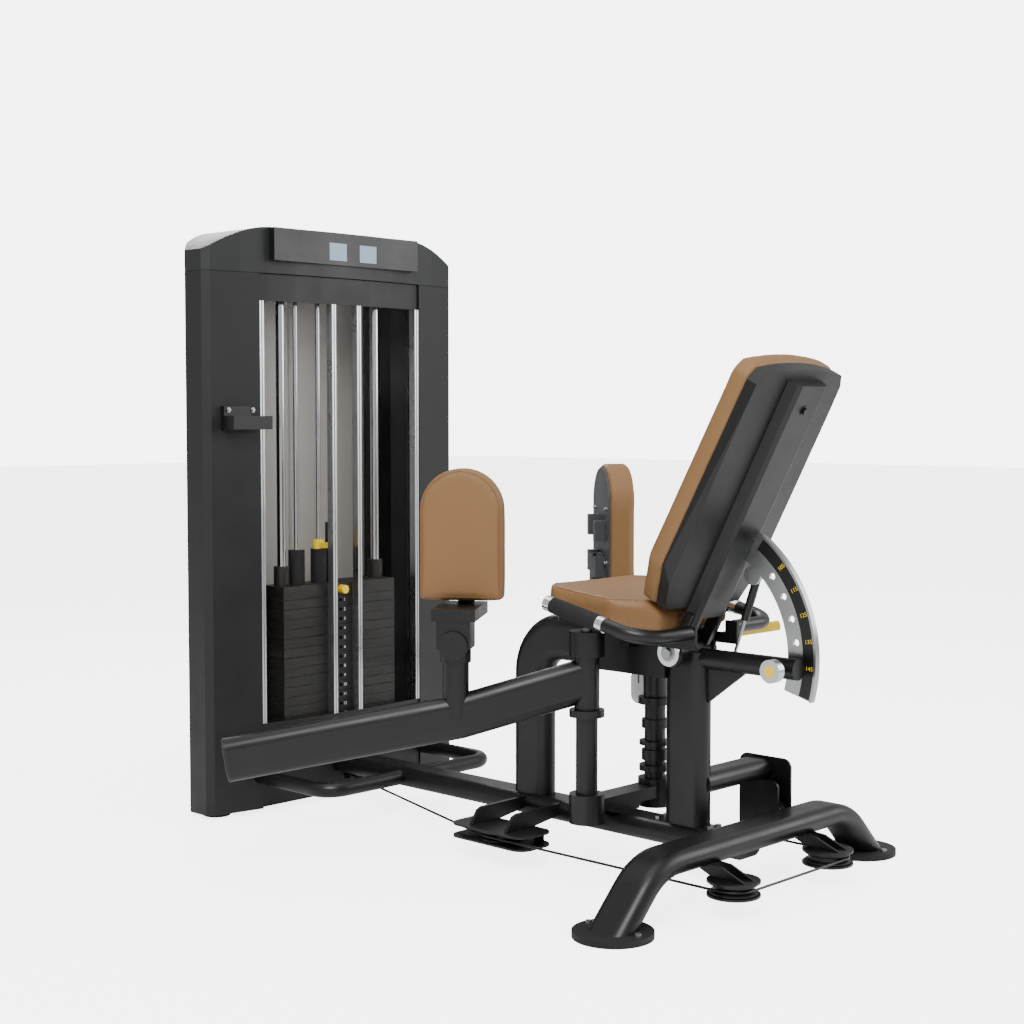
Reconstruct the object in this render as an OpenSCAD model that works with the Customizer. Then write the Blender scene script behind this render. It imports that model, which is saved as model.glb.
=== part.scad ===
// Hip abductor and adductor machine: a seated leg machine with a weight tower.
// Frame: +Z up, user faces +Y towards the tower, origin on the floor at the middle
// of the machine's footprint. Lengths are in millimetres.
// "Station" values are distances forward of the line through the two rear floor discs.

/* [Base frame] */
// Width of the flat oval frame tube
tube_w = 104; // [80:1:124]
// Height of the flat oval frame tube
tube_h = 52; // [44:1:60]
// Underside of the main beam above the floor
beam_z = 76; // [60:1:90]
// Distance from the centre line to each rear floor disc
foot_span = 472; // [400:1:560]
// Radius of a rear floor disc
disc_r = 87; // [70:1:92]
// Thickness of a rear floor disc
disc_t = 14; // [8:1:20]

/* [Leg arms] */
// Distance of each arm pivot from the centre line
pivot_x = 128; // [115:1:150]
// Station of the arm pivots
pivot_y = 376; // [366:1:386]
// Diameter of the pivot shaft
shaft_d = 30; // [24:1:34]
// Outer diameter of the arm hub
hub_d = 60; // [54:1:66]
// Angle of each arm out from straight ahead, wide open
arm_open = 48; // [40:1:50]
// Reach of the arm from pivot to end
arm_reach = 843; // [760:1:870]
// Distance along the arm from pivot to pad post
post_reach = 310; // [290:1:330]
// Height of the oval arm tube
arm_h = 104; // [86:1:108]
// Width of the oval arm tube
arm_w = 54; // [44:1:56]

/* [Thigh pads] */
// Width of a thigh pad
pad_w = 199; // [160:1:210]
// Height of a thigh pad
pad_h = 314; // [260:1:340]
// Thickness of a thigh pad
pad_t = 62; // [45:1:70]
// Sideways offset of the pad's middle from its post
pad_offset = 97; // [92:1:105]

/* [Seat and back] */
// Width of the seat cushion
seat_w = 400; // [340:1:420]
// Thickness of the seat cushion
seat_t = 66; // [50:1:76]
// Width of the back cushion
back_w = 360; // [300:1:390]
// Length of the back cushion
back_l = 618; // [540:1:700]
// Thickness of the back cushion
back_t = 44; // [36:1:56]
// Lean of the back from upright in its steepest notch
back_lean = 27.7; // [24:0.1:30]
// Diameter of the handle tube
handle_d = 32; // [26:1:34]

/* [Weight tower] */
// Overall height of the tower
tower_h = 1590; // [1325:1:1910]
// Overall width of the tower
tower_w = 906; // [860:1:1090]
// Station of the tower's front
tower_y = 1384; // [1360:1:1450]
// Depth of the tower
tower_depth = 256; // [250:1:320]
// Clear width of the tower window
window_w = 584; // [540:1:600]
// Number of weight plates below the head plate
plate_count = 17; // [14:1:17]
// Pitch of the weight plates
plate_pitch = 27; // [24:0.5:27]
// Distance of a guide rod from the centre line
rod_x = 173; // [150:1:178]
// Diameter of a guide rod
rod_d = 25; // [20:1:28]

/* [Pulleys and cable] */
// Radius at the bottom of a pulley groove
pulley_r = 45; // [38:1:48]
// Thickness of a pulley
pulley_t = 22; // [18:1:24]
// Diameter of the drive cable
cable_d = 6; // [4:0.5:8]

/* [Hidden] */
$fn = 64;

// Placement: the rearmost and foremost stations centre the footprint on the origin
fit = 0.05;          // radial running clearance
gap = 0.3;           // gap between separate bodies
splice = 0.02;       // degrees left at each end of a bend, so its pieces stay exact solids
weld = 0.01;         // least step that keeps two faces apart in a cut

// Base frame
beam_mid = beam_z + tube_h / 2;
beam_top = beam_z + tube_h;
foot_mid = beam_z + tube_h;
foot_bend = 150;
foot_turn = 45;
foot_slope = (foot_mid - disc_t - foot_bend * (1 - cos(foot_turn))) / sin(foot_turn);
foot_straight = foot_span - foot_bend * sin(foot_turn) - foot_slope * cos(foot_turn);
column_y = 172;
column_w = 60;
column_l = 116;
upright_y = 662;
upright_bend = 100;
upright_z = 432;
loop_x = 300;
loop_y = 1124;
loop_d = 40;

// Arm pivots
collar_d = hub_d + 24;
base_z = 118;
base_h = 70;
flange_z = 372;
flange_t = 17;
hub_z = flange_z + flange_t + gap;
head_z = 515;
head_h = 60;
hub_top = head_z - gap;
arm_z0 = hub_top - arm_h / 2 - 3;
bend_reach = 301;
bend_drop = 85;
end_drop = 180;
swivel_z = 505;
swivel_pin_d = 24;
swivel_top = 632;
pad_z = 643;
pad_toe = 12;

// Seat and back
seat_y0 = 158;
seat_l = 322;
seat_z0 = 576;
seat_tilt = 5;
board_t = 14;
hinge_y = 176;
hinge_z = 536;
barrel_d = 60;
barrel_half = 55;
ear_t = 10;
ear_d = 70;
hinge_pin_d = 20;
cushion_front = 42;
shell_low = 118;
cushion_low = 112;
spine_w = 128;
spine_back = 22;
fork_half = 32;
fork_top = 104;
wing_x = 75;
wing_t = 8;

// Sector, lock and gas spring
sector_x = 36;
sector_t = 8;
sector_in = 256;
sector_hole = 280;
sector_out = 333;
notch_step = 11;
notch_low = -3;
notch_count = 5;
pin_d = 14;
support_d = 48;
support_z = hinge_z + sector_hole * sin(notch_low);
lock_y = hinge_y - sector_hole * cos(notch_low);
gas_x = 60;
gas_low = [gas_x, 87, 523];
gas_r = 240;
gas_angle = 49.4;
gas_top = [gas_x, hinge_y - gas_r * cos(gas_angle), hinge_z + gas_r * sin(gas_angle)];
gas_tilt = atan2(-(gas_top[1] - gas_low[1]), gas_top[2] - gas_low[2]);
gas_length = norm(gas_top - gas_low);

// Tower
bow_r = 2200;
cover_t = 4;
header_h = 124;
seam_z = tower_h - header_h;
window_top = seam_z - 74;
window_low = 245;
side_z0 = 12;
corner_x = tower_w / 2 - 17;
side_y = tower_y + 133;
rear_x = 300;
tower_back = tower_y + tower_depth;
stack_y = tower_y + 84;
stack_d = 96;
stack_w = 410;
stack_z = 115;
head_plate_t = 36;
stack_top = stack_z + plate_count * plate_pitch;
stem_h = 170;
increment_x = [-120, -40];
increment_z0 = stack_top + head_plate_t + 20;
selector_hole_d = 11;

// Pulleys: [x, station, height]; the cable turns about each at cable_r
cable_r = pulley_r + cable_d / 2 + gap;
flange = 8;
housing_back = 55;
cable_z = beam_z - 12;
mid_pulley = [-190, 600, cable_z];
rear_pulley = [182, -95, cable_z];
side_pulley = [rear_pulley[0] + cable_r, 110, cable_z + cable_r];
base_pulley = [0, stack_y + stack_d / 2 + pulley_r + 12, cable_z + cable_r];
down_y = base_pulley[1] + cable_r;
top_r = (down_y - stack_y) / 2 - cable_d / 2 - gap;
top_pulley = [0, (down_y + stack_y) / 2, tower_h - cover_t - top_r - 2 * flange];
axle_d = 20;

// Footprint: the back's top corner and the tower's rear wall set the middle
rear_most = hinge_y - (cushion_low + back_l - 30) * sin(back_lean) - spine_back * cos(back_lean);
y_mid = (tower_back + min(rear_most, rear_pulley[1] - housing_back)) / 2;

function front_y(x) = tower_y + bow_r - sqrt(bow_r * bow_r - x * x);

module placed() translate([0, -y_mid, 0]) children();
module on_side(s) if (s < 0) mirror([1, 0, 0]) children(); else children();

module oval(l, w) {
    square([l - w, w], center = true);
    for (s = [-1, 1]) translate([s * (l - w) / 2, 0]) circle(d = w);
}

module rounded_plate(w, h, r) {
    square([w - 2 * r, h], center = true);
    square([w, h - 2 * r], center = true);
    for (x = [-1, 1]) for (y = [-1, 1]) translate([x * (w / 2 - r), y * (h / 2 - r)]) circle(r = r);
}

module rod(p, q, d) {
    v = q - p;
    translate(p) rotate([0, acos(v[2] / norm(v)), atan2(v[1], v[0])])
        cylinder(d = d, h = norm(v));
}

// ---- Base frame ----

module beam_solid() translate([0, 0, beam_mid]) rotate([-90, 0, 0])
    linear_extrude(tower_y + 12) oval(tube_w, tube_h);

module foot_solid() {
    translate([-foot_straight, 0, foot_mid]) rotate([90, 0, 90])
        linear_extrude(2 * foot_straight) oval(tube_w, tube_h);
    for (s = [-1, 1]) on_side(s) {
        translate([foot_straight, 0, foot_mid - foot_bend]) rotate([90, 0, 0])
            rotate([0, 0, 90 - foot_turn + splice]) rotate_extrude(angle = foot_turn - 2 * splice, $fn = 96)
                translate([foot_bend, 0]) rotate(90) oval(tube_w, tube_h);
        translate([foot_straight + foot_bend * sin(foot_turn), 0,
                foot_mid - foot_bend * (1 - cos(foot_turn))])
            rotate([0, foot_turn, 0]) rotate([90, 0, 90])
                linear_extrude(foot_slope + tube_h) oval(tube_w, tube_h);
    }
}

module column_solid() translate([0, column_y, beam_top - tube_h / 2])
    linear_extrude(hinge_z - beam_top + tube_h / 2) rotate(90) oval(column_l, column_w);

module main_beam() color([0.13, 0.13, 0.13]) placed() difference() {
    beam_solid();
    foot_solid();
}

module rear_foot() color([0.14, 0.14, 0.14]) placed() intersection() {
    foot_solid();
    translate([-foot_span - 200, -200, disc_t]) cube([2 * foot_span + 400, 400, 400]);
}

module floor_discs() color([0.08, 0.08, 0.08]) placed()
    for (s = [-1, 1]) translate([s * foot_span, 0, 0]) cylinder(r = disc_r, h = disc_t, $fn = 96);

module seat_column() color([0.16, 0.16, 0.16]) placed() {
    difference() {
        column_solid();
        beam_solid();
        translate([-80, hinge_y, hinge_z]) rotate([0, 90, 0]) cylinder(d = barrel_d - 1, h = 160);
        translate([-80, column_y - 80, hinge_z]) cube([160, 160, 60]);
    }
    difference() {
        translate([-barrel_half, hinge_y, hinge_z]) rotate([0, 90, 0])
            cylinder(d = barrel_d, h = 2 * barrel_half);
        translate([-80, hinge_y, hinge_z]) rotate([0, 90, 0])
            cylinder(d = hinge_pin_d + 2 * fit, h = 160);
    }
}

module upright_profile() rotate(90) oval(column_l, column_w);

module curved_upright() color([0.13, 0.13, 0.13]) placed() difference() {
    union() {
        translate([0, upright_y, beam_top - tube_h / 2])
            linear_extrude(upright_z - beam_top + tube_h / 2) upright_profile();
        translate([0, upright_y - upright_bend, upright_z]) rotate([90, 0, 90])
            rotate_extrude(angle = 90, $fn = 96) translate([upright_bend, 0]) oval(column_l, column_w);
        translate([0, upright_y - upright_bend, upright_z + upright_bend]) rotate([90, 0, 0])
            linear_extrude(upright_y - upright_bend - 440) upright_profile();
    }
    beam_solid();
}

module seat_carrier() color([0.10, 0.10, 0.10]) placed() difference() {
    union() {
        translate([-40, 212, 470]) cube([80, 228, 97]);
        for (s = [-1, 1]) on_side(s) {
            translate([wing_x, 90, 550]) cube([wing_t, 220, 25]);
            translate([wing_x, 90, 560]) cube([wing_t, 34, 44]);
            translate([36, 286, 540]) cube([wing_x - 36 + wing_t, 24, 26]);
        }
        translate([wing_x, 222, 530]) cube([58, 28, 8]);
        translate([wing_x, 222, 530]) cube([wing_t, 28, 30]);
        translate([120, 236, 530]) cylinder(d = 8, h = 34);
    }
    for (s = [-1, 1]) translate([s * pivot_x, pivot_y, 400]) cylinder(d = collar_d, h = 300);
    column_solid();
}

module post_base() color([0.12, 0.12, 0.12]) placed() difference() {
    union() {
        for (s = [-1, 1]) translate([s * pivot_x, pivot_y, base_z]) cylinder(d = collar_d, h = base_h);
        translate([-pivot_x, pivot_y - 30, base_z + 26]) cube([2 * pivot_x, 60, 30]);
        translate([-40, pivot_y - 24, beam_top]) cube([80, 48, 30]);
    }
    for (s = [-1, 1]) translate([s * pivot_x, pivot_y, base_z + 12]) cylinder(d = hub_d - 8, h = base_h);
    beam_solid();
}

module post_head() color([0.10, 0.10, 0.10]) placed() difference() {
    union() {
        for (s = [-1, 1]) translate([s * pivot_x, pivot_y, head_z]) cylinder(d = collar_d, h = head_h);
        translate([-pivot_x, pivot_y - 32, head_z + 52]) cube([2 * pivot_x, 64, 8]);
    }
    for (s = [-1, 1]) translate([s * pivot_x, pivot_y, head_z - 1]) cylinder(d = shaft_d, h = head_h - 12);
}

module pivot_posts() color([0.15, 0.15, 0.15]) placed() for (s = [-1, 1]) translate([s * pivot_x, pivot_y, 0]) {
    translate([0, 0, base_z + 12]) cylinder(d = hub_d - 8, h = flange_z - base_z - 12);
    translate([0, 0, flange_z]) cylinder(d = collar_d, h = flange_t);
    if (s > 0) for (ring = [[206, 14, 78], [232, 26, 66], [270, 10, 78], [312, 22, 66]])
        translate([0, 0, ring[0]]) cylinder(d = ring[2], h = ring[1]);
    translate([0, 0, flange_z + flange_t]) cylinder(d = shaft_d, h = head_z + head_h - 13 - flange_z - flange_t);
}

module support_tube() color([0.12, 0.12, 0.12]) placed() difference() {
    union() {
        translate([0, column_y - 40, support_z]) rotate([90, 0, 0])
            cylinder(d = support_d, h = column_y - 40 - lock_y + 30);
        translate([4, 0, 0]) rotate([0, -90, 0]) linear_extrude(8)
            polygon([[support_z - 20, column_y - 50], [support_z - 20, 4], [support_z - 108, column_y - 50]]);
        translate([0, gas_low[1], gas_low[2]]) rotate([0, 90, 0]) cylinder(d = 18, h = gas_x - 8);
        translate([0, gas_low[1], gas_low[2]]) rotate([0, 90, 0]) cylinder(d = 10, h = gas_x + 10);
    }
    column_solid();
    translate([-60, lock_y, support_z]) rotate([0, 90, 0]) cylinder(d = pin_d + 2 * fit, h = 120);
}

module loop_path() {
    for (s = [-1, 1]) on_side(s) {
        translate([0, loop_y, beam_mid]) rotate([0, 90, 0]) cylinder(d = loop_d, h = loop_x - 60);
        translate([loop_x - 60, loop_y + 60, beam_mid])
            rotate([0, 0, -90]) rotate_extrude(angle = 90, $fn = 96) translate([60, 0]) circle(d = loop_d);
        translate([loop_x, loop_y + 60, beam_mid]) rotate([-90, 0, 0])
            cylinder(d = loop_d, h = front_y(loop_x) - loop_y - 56);
    }
}

module front_loop() color([0.12, 0.12, 0.12]) placed() difference() {
    loop_path();
    beam_solid();
    linear_extrude(300) tower_plan(0);
    for (s = [-1, 1]) on_side(s) linear_extrude(300) cover_plan(0);
}

module side_outrigger() color([0.12, 0.12, 0.12]) placed() {
    difference() {
        translate([0, 148, 228]) rotate([90, 0, 90]) linear_extrude(side_pulley[0] + 14) oval(84, 48);
        column_solid();
    }
    translate([side_pulley[0] + 14, 128, 168]) rotate([90, 0, 90]) linear_extrude(6) rounded_plate(150, 180, 22);
    translate([side_pulley[0] - 22, 120, 144]) rotate([90, 0, 90]) linear_extrude(6) rounded_plate(112, 128, 18);
    translate([side_pulley[0] - 20, side_pulley[1], side_pulley[2]]) rotate([0, 90, 0])
        cylinder(d = axle_d - 2 * fit, h = 40);
}

module frame_bolts() color([0.25, 0.25, 0.25]) placed() {
    for (y = [96, 250]) for (s = [-1, 1])
        translate([s * 16, y, beam_top]) cylinder(d = 16, h = 7, $fn = 6);
    for (s = [-1, 1]) translate([s * pivot_x, pivot_y, head_z + head_h]) cylinder(d = 26, h = 6);
    for (s = [-1, 1]) for (d = [-42, 42]) translate([s * foot_span, d * 1.6, disc_t]) cylinder(d = 15, h = 7, $fn = 6);
}

module hinge_pin() color([0.75, 0.75, 0.75]) placed() translate([0, hinge_y, hinge_z]) rotate([0, 90, 0]) {
    translate([0, 0, -barrel_half - ear_t - 1]) cylinder(d = hinge_pin_d, h = 2 * (barrel_half + ear_t + 1));
    for (s = [-1, 1]) translate([0, 0, s * (barrel_half + ear_t + 4.5) - 3.5]) cylinder(d = 62, h = 7);
}

// ---- Seat ----

module seat_outline(w, inset) {
    h = w / 2 - inset;
    y1 = seat_l - inset;
    polygon([[-h * 0.62, inset], [h * 0.62, inset], [h, 96], [h - 12, y1 - 40],
        [h - 52, y1], [52 - h, y1], [12 - h, y1 - 40], [-h, 96]]);
}

module seat_place(lift) translate([0, seat_y0, seat_z0 + lift]) rotate([seat_tilt, 0, 0]) children();

module seat_board() color([0.10, 0.10, 0.10]) placed() {
    seat_place(0) linear_extrude(board_t) seat_outline(seat_w, 14);
    difference() {
        translate([-30, 240, 567]) cube([60, 190, 40]);
        seat_place(weld) translate([-300, -200, 0]) cube([600, 900, 200]);
        translate([-60, pivot_y - 33, 560]) cube([120, 66, head_z + head_h - 560]);
    }
}

module seat_cushion() color([0.62, 0.48, 0.33]) placed() seat_place(board_t + gap) difference() {
    linear_extrude(seat_t) seat_outline(seat_w, 0);
    translate([-300, 0, seat_t - 30]) rotate([45, 0, 0]) translate([0, -100, 0]) cube([600, 200, 100]);
}

module handle_frame(s) placed() on_side(s) translate([seat_w / 2 + 50, 175, 604]) rotate([12, 0, 0]) children();

module seat_handles() color([0.10, 0.10, 0.10]) for (s = [-1, 1]) handle_frame(s) {
    rotate([-90, 0, 0]) cylinder(d = handle_d, h = 40);
    translate([0, 40, 0]) rotate([-90, 0, 0]) cylinder(d = handle_d - 8, h = 184);
    translate([-70, 0, 0]) rotate([0, 0, -90]) rotate_extrude(angle = 90, $fn = 96)
        translate([70, 0]) circle(d = handle_d);
    translate([-70, -70, 0]) rotate([0, -90, 0])
        cylinder(d = handle_d, h = seat_w / 2 + 50 - 70 - wing_x - wing_t);
}

module handle_grips() color([0.20, 0.20, 0.20])
    for (s = [-1, 1]) handle_frame(s) translate([0, 60, 0]) rotate([-90, 0, 0]) difference() {
        cylinder(d = handle_d + 6, h = 142);
        translate([0, 0, -1]) cylinder(d = handle_d - 8, h = 144);
    }

module grip_collars() color([0.80, 0.80, 0.80])
    for (s = [-1, 1]) for (y = [40, 202]) handle_frame(s) translate([0, y, 0]) rotate([-90, 0, 0]) difference() {
        cylinder(d = handle_d + 4, h = 20);
        translate([0, 0, -1]) cylinder(d = handle_d - 8, h = 22);
    }

// ---- Reclining back ----

module back_place() placed() translate([0, hinge_y, hinge_z]) rotate([back_lean, 0, 0]) children();

module back_outline(w, low, high, inset) {
    h = w / 2 - inset;
    arc = high - low;
    polygon(concat([[-h * 0.78, low], [h * 0.78, low], [h, low + 105], [h - 16, high - 42]],
        [for (i = [-4:4]) let (x = -i * (h - 34) / 4) [x, high - 14 * pow(x / (h - 34), 2)]],
        [[16 - h, high - 42], [-h, low + 105]]));
}

module upright_slab(y0, y1) translate([0, y1, 0]) rotate([90, 0, 0]) linear_extrude(y1 - y0) children();

module spine_solid() linear_extrude(cushion_low + back_l - 30)
    polygon([[-spine_w / 2, 6], [spine_w / 2, 6], [spine_w / 2 - 8, -spine_back + 6],
        [spine_w / 2 - 20, -spine_back], [20 - spine_w / 2, -spine_back], [8 - spine_w / 2, -spine_back + 6]]);

module back_frame() color([0.12, 0.12, 0.12]) back_place() difference() {
    union() {
        difference() {
            spine_solid();
            translate([-100, 0, 0]) rotate([0, 90, 0]) cylinder(d = barrel_d + 6, h = 200);
            translate([-100, -60, -1]) cube([200, 120, 20]);
            translate([-fork_half, -60, -1]) cube([2 * fork_half, 120, fork_top + 1]);
        }
        for (s = [-1, 1]) on_side(s) translate([barrel_half + gap, 0, 0]) rotate([0, 90, 0]) {
            cylinder(d = ear_d, h = ear_t);
            translate([-110, -14, 0]) cube([110, 20, ear_t]);
        }
    }
    translate([-100, 0, 0]) rotate([0, 90, 0]) cylinder(d = hinge_pin_d + 2 * fit, h = 200);
}

module back_shell() color([0.15, 0.15, 0.15]) back_place() intersection() {
    linear_extrude(900) polygon([[-back_w / 2, cushion_front], [-back_w / 2 + 17, 14], [-spine_w / 2 - 6, 6],
        [spine_w / 2 + 6, 6], [back_w / 2 - 17, 14], [back_w / 2, cushion_front]]);
    upright_slab(6, cushion_front) back_outline(back_w, shell_low, cushion_low + back_l - 4, 3);
}

module back_cushion() color([0.62, 0.48, 0.33]) back_place()
    upright_slab(cushion_front + gap, cushion_front + gap + back_t)
        back_outline(back_w, cushion_low, cushion_low + back_l, 0);

module sector_frame() placed() translate([sector_x, hinge_y, hinge_z]) rotate([90, 0, 90]) children();

module sector_blank(r0, r1, t, a0, a1) rotate([0, 0, 180 - a1])
    rotate_extrude(angle = a1 - a0, $fn = 128) translate([r0, 0]) square([r1 - r0, t]);

module sector_plate() color([0.55, 0.55, 0.55]) difference() {
    union() {
        sector_frame() {
            sector_blank(sector_in, sector_out, sector_t, -16, 60);
            translate([-gas_r * cos(gas_angle), gas_r * sin(gas_angle), 0]) {
                cylinder(d = 44, h = sector_t);
                cylinder(d = 22, h = gas_x - 10 - gap - sector_x);
            }
        }
        sector_frame() translate([0, 0, -4]) sector_blank(sector_out - 6, sector_out, sector_t + 8, -16, 56);
    }
    back_place() spine_solid();
    for (i = [0:notch_count - 1]) sector_frame() rotate([0, 0, 180 - notch_low - i * notch_step])
        translate([sector_hole, 0, -5]) cylinder(d = pin_d + 2, h = sector_t + 10);
}

module gas_place() placed() translate(gas_low) rotate([gas_tilt, 0, 0]) children();

module gas_cylinder() color([0.10, 0.10, 0.10]) gas_place() difference() {
    union() {
        translate([0, 0, gas_length - 112]) difference() {
            cylinder(d = 20, h = 106);
            translate([0, 0, -1]) cylinder(d = 8 + 2 * fit, h = 88);
        }
        translate([-6, 0, gas_length]) rotate([0, 90, 0]) cylinder(d = 24, h = 12);
    }
    translate([-20, 0, gas_length]) rotate([0, 90, 0]) cylinder(d = 10 + 2 * fit, h = 40);
}

module gas_rod() color([0.60, 0.60, 0.60]) gas_place() difference() {
    union() {
        translate([0, 0, 8]) cylinder(d = 8, h = gas_length - 100 - 8);
        translate([-6, 0, 0]) rotate([0, 90, 0]) cylinder(d = 20, h = 12);
    }
    translate([-20, 0, 0]) rotate([0, 90, 0]) cylinder(d = 10 + 2 * fit, h = 40);
}

module lock_plunger() color([0.80, 0.80, 0.80]) placed() translate([0, lock_y, support_z]) rotate([0, 90, 0]) {
    translate([0, 0, -44]) cylinder(d = pin_d, h = sector_x - gap + 44);
    translate([0, 0, -48]) cylinder(d = 34, h = 12);
    translate([0, 0, -68]) cylinder(d = 52, h = 20);
}

module range_lever() color([0.85, 0.72, 0.10]) placed() difference() {
    union() {
        translate([120, 236, 538 + gap]) cylinder(d = 20, h = 24);
        rod([120, 236, 549], [188, 196, 557], 12);
        rod([184, 198, 556.5], [300, 130, 571], 24);
    }
    translate([120, 236, 500]) cylinder(d = 8 + 2 * fit, h = 100);
}

// ---- Leg arms and thigh pads ----

module arm_place(s) placed() on_side(s) translate([pivot_x, pivot_y, 0]) rotate([0, 0, -arm_open]) children();

slope_near = atan2(-bend_drop, bend_reach);
slope_far = atan2(bend_drop - end_drop, arm_reach - bend_reach);

module arm_length(slope, length, before, after) rotate([slope, 0, 0]) translate([0, -before, 0])
    rotate([-90, 0, 0]) linear_extrude(length + before + after) rotate(90) oval(arm_h, arm_w);

// The two straight lengths of an arm meet at a mitre
module arm_tubes() {
    mitre = (slope_near + slope_far) / 2;
    difference() {
        translate([0, 0, arm_z0]) arm_length(slope_near, norm([bend_reach, bend_drop]), 0, 20);
        translate([-100, bend_reach, arm_z0 - bend_drop]) rotate([mitre, 0, 0])
            translate([0, -weld, -200]) cube([200, 200, 400]);
    }
    difference() {
        translate([0, bend_reach, arm_z0 - bend_drop])
            arm_length(slope_far, norm([arm_reach - bend_reach, end_drop - bend_drop]), 20, 0);
        translate([-100, bend_reach, arm_z0 - bend_drop]) rotate([mitre, 0, 0])
            translate([0, weld - 200, -200]) cube([200, 200, 400]);
    }
}

module leg_arm(s) color([0.16, 0.16, 0.16]) arm_place(s) difference() {
    union() {
        translate([0, 0, hub_z]) cylinder(d = hub_d, h = hub_top - hub_z);
        arm_tubes();
        translate([0, post_reach, arm_z0 - bend_drop]) cylinder(d = 62, h = swivel_z - arm_z0 + bend_drop);
        translate([0, post_reach, swivel_z]) cylinder(d = swivel_pin_d, h = swivel_top - swivel_z - 10);
    }
    translate([0, 0, hub_z - 20]) cylinder(d = shaft_d + 2 * fit, h = hub_top - hub_z + 40);
}

module pad_place(s) arm_place(s) translate([0, post_reach, 0]) rotate([0, 0, pad_toe]) children();

module pad_swivel(s) color([0.12, 0.12, 0.12]) pad_place(s) difference() {
    back = -pad_offset - pad_t / 2 - 5;
    union() {
        translate([0, 0, swivel_z + gap]) cylinder(d = 72, h = 40);
        translate([-36, -40, swivel_z + 34]) cube([72, 80, 70]);
        translate([30, 0, swivel_z + 42]) rotate([0, 90, 0]) cylinder(d = 68, h = 14);
        translate([back - 26, -52, swivel_top - 28]) cube([66 - back, 104, 28]);
        translate([back - 26, -20, swivel_top - 1]) cube([10, 40, 92]);
    }
    translate([0, 0, swivel_z - 1]) cylinder(d = swivel_pin_d + 2 * fit, h = swivel_top - swivel_z - 9);
}

module pad_outline(inset) {
    r = pad_w / 2 - inset;
    translate([-r, inset]) square([2 * r, pad_h - pad_w / 2 - inset]);
    translate([0, pad_h - pad_w / 2]) circle(r = r, $fn = 96);
}

module pad_slab(x0, x1, inset) translate([x0, 0, pad_z]) rotate([90, 0, 90])
    linear_extrude(x1 - x0) pad_outline(inset);

module pad_plate(s) color([0.40, 0.41, 0.43]) pad_place(s) {
    back = -pad_offset - pad_t / 2;
    pad_slab(back - 5, back - gap, 10);
    for (z = [pad_z + 18, pad_z + 112]) for (y = [-34, 34])
        translate([back - 5 - 26, y - 13, z + (y > 0 ? 14 : 0)]) cube([26, 26, 54]);
    translate([back - 21, -20, swivel_top + 10]) cube([16, 40, 80]);
}

module thigh_pad(s) color([0.62, 0.48, 0.33]) pad_place(s)
    pad_slab(-pad_offset - pad_t / 2, -pad_offset + pad_t / 2, 0);

// ---- Weight tower ----

module cover_plan(inset) {
    h = tower_w / 2 - inset;
    c = corner_x - inset * 0.6;
    polygon([[window_w / 2, front_y(window_w / 2) + inset], [c, front_y(corner_x) + inset],
        [h, front_y(corner_x) + 17 + inset * 0.4], [h, side_y], [h - 50, side_y + 60],
        [rear_x, tower_back - inset], [window_w / 2, tower_back - inset]]);
}

module side_covers() color([0.22, 0.22, 0.22]) placed() for (s = [-1, 1]) on_side(s) {
    translate([0, 0, side_z0]) linear_extrude(seam_z - 1 - side_z0) difference() {
        cover_plan(0);
        difference() {
            cover_plan(cover_t);
            translate([window_w / 2 - 1, tower_y]) square([cover_t + 1, 70]);
        }
    }
    for (c = [[corner_x - 44, front_y(corner_x) + 52], [rear_x + 10, tower_back - 52]])
        translate([c[0], c[1], 0]) difference() {
            cylinder(r = 36, h = side_z0 + 3);
            translate([-50, -50, side_z0]) cube([100, 100, 10]);
        }
}

module header_profile(inset) {
    w = tower_w / 2 - inset;
    flat = 262;
    polygon(concat([[-w, seam_z + (inset > 0 ? -5 : 0)], [w, seam_z + (inset > 0 ? -5 : 0)], [w, tower_h - 68 - inset]],
        [for (i = [0:8]) let (t = i / 8, x = w + (flat - w) * t) [x, tower_h - inset - 68 * pow(1 - t, 1.7)]],
        [for (i = [8:-1:0]) let (t = i / 8, x = w + (flat - w) * t) [-x, tower_h - inset - 68 * pow(1 - t, 1.7)]],
        [[-w, tower_h - 68 - inset]]));
}

module tower_plan(inset) {
    pts = [for (i = [0:10]) let (x = corner_x * (i / 5 - 1)) [x, front_y(x) + inset]];
    h = tower_w / 2 - inset;
    polygon(concat(pts, [[h, front_y(corner_x) + 17], [h, side_y], [h - 50, side_y + 60], [rear_x, tower_back - inset],
        [-rear_x, tower_back - inset], [50 - h, side_y + 60], [-h, side_y], [-h, front_y(corner_x) + 17]]));
}

module header_solid(inset) intersection() {
    translate([0, tower_y + 400, 0]) rotate([90, 0, 0]) linear_extrude(500) header_profile(inset);
    translate([0, 0, seam_z - 20]) linear_extrude(200) tower_plan(inset);
}

module header_cover() color([0.24, 0.24, 0.25]) placed() difference() {
    header_solid(0);
    header_solid(cover_t);
}

module name_plate() color([0.20, 0.20, 0.21]) placed() difference() {
    translate([-262, tower_y - 8, seam_z + 34]) cube([524, 30, 88]);
    translate([0, 0, seam_z]) linear_extrude(200) tower_plan(0);
}

module window_band(inset, z0, z1) translate([0, 0, z0]) linear_extrude(z1 - z0) difference() {
    intersection() {
        tower_plan(inset);
        translate([gap - window_w / 2, tower_y - 10]) square([window_w - 2 * gap, 50]);
    }
    tower_plan(inset + 6);
}

module front_panels() color([0.20, 0.20, 0.20]) placed() {
    window_band(6, window_top, seam_z - 2);
    difference() {
        window_band(4, 25, window_low);
        translate([-tube_w / 2 - 6, tower_y - 40, 0]) cube([tube_w + 12, 80, beam_top + 6]);
    }
}

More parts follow.
